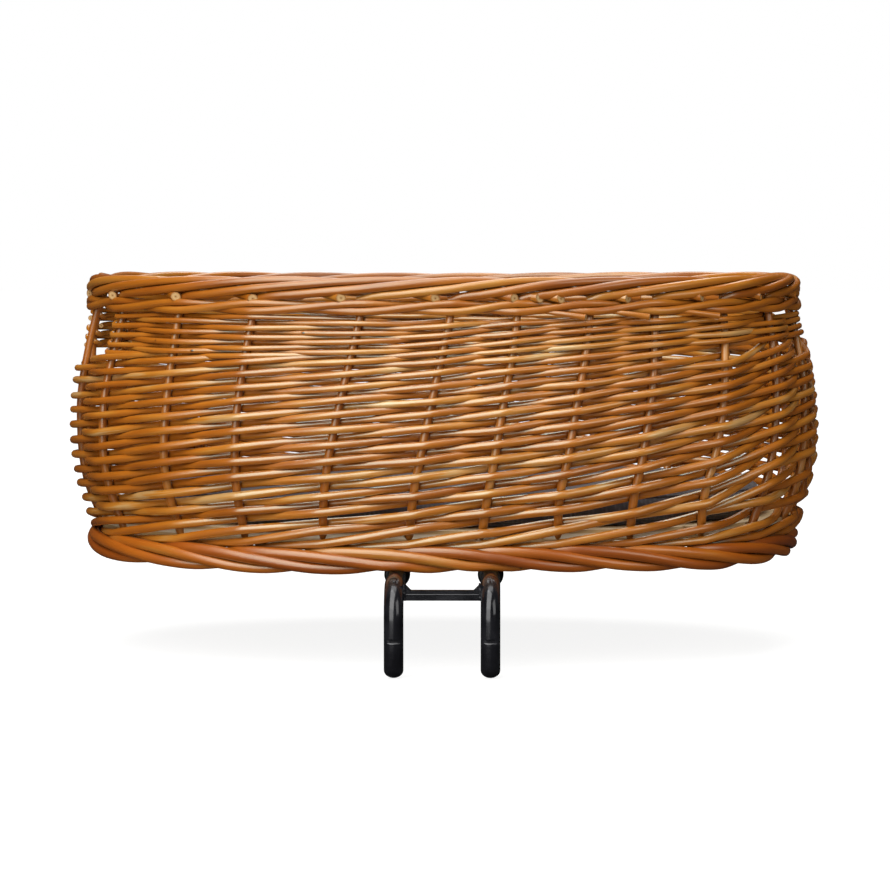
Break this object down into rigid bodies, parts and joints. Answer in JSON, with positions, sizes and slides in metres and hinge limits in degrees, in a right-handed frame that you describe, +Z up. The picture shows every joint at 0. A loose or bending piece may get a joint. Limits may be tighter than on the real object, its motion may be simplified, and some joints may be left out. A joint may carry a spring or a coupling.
{
  "type": "wicker bicycle basket",
  "caption": "Oval woven willow basket with hand holes at both ends, plywood floor and lift-out pad, on a plug-in carrier of two bent black steel tubes.",
  "frame": {"origin": "midway between the axes of the two plug-in legs, level with the underside of the basket's foot", "axes": "+X along the basket's length, -Y towards the side the legs are on, +Z up"},
  "size_m": [0.4935, 0.4021, 0.2435],
  "materials": {
    "willow_pale": "peeled buff willow, satin",
    "willow_gold": "peeled buff willow, satin",
    "willow_stake": "boiled brown willow, satin",
    "willow_foot": "thick reddish willow rods, satin",
    "plywood": "bare birch plywood",
    "batten_wood": "planed softwood",
    "cushion_cloth": "dark grey woven cloth, matt",
    "black_steel": "glossy black powder coat",
    "zinc": "zinc plated"
  },
  "bodies": {
    "basket": {"back_upper_row_1": "willow_pale", "back_upper_row_2": "willow_pale", "bottom_wale": "willow_gold", "cross_brace": "black_steel", "floor_board": "plywood", "floor_wale": "willow_gold", "foot_border": "willow_foot", "front_batten": "batten_wood", "front_left_bolt": "zinc", "front_left_nut": "zinc", "front_right_bolt": "zinc", "front_right_nut": "zinc", "front_strap": "black_steel", "front_upper_row_1": "willow_pale", "front_upper_row_2": "willow_pale", "left_tube": "black_steel", "rear_batten": "batten_wood", "rear_left_bolt": "zinc", "rear_left_nut": "zinc", "rear_right_bolt": "zinc", "rear_right_nut": "zinc", "rear_strap": "black_steel", "right_tube": "black_steel", "siding_row_1": "willow_pale", "siding_row_2": "willow_pale", "siding_row_3": "willow_pale", "siding_row_4": "willow_pale", "siding_row_5": "willow_pale", "siding_row_6": "willow_pale", "stake_01": "willow_stake", "stake_02": "willow_stake", "stake_03": "willow_stake", "stake_04": "willow_stake", "stake_05": "willow_stake", "stake_06": "willow_stake", "stake_07": "willow_stake", "stake_08": "willow_stake", "stake_09": "willow_stake", "stake_10": "willow_stake", "stake_11": "willow_stake", "stake_12": "willow_stake", "stake_13": "willow_stake", "stake_14": "willow_stake", "stake_15": "willow_stake", "stake_16": "willow_stake", "stake_17": "willow_stake", "stake_18": "willow_stake", "stake_19": "willow_stake", "stake_20": "willow_stake", "stake_21": "willow_stake", "stake_22": "willow_stake", "stake_23": "willow_stake", "stake_24": "willow_stake", "top_border": "willow_gold", "top_wale": "willow_gold"},
    "cushion": {"cushion": "cushion_cloth"}
  },
  "joints": [
    {"name": "cushion_lift", "type": "slide", "parent": "basket", "child": "cushion", "axis": [0, 0, 1], "range_m": [0, 0.2]}
  ]
}
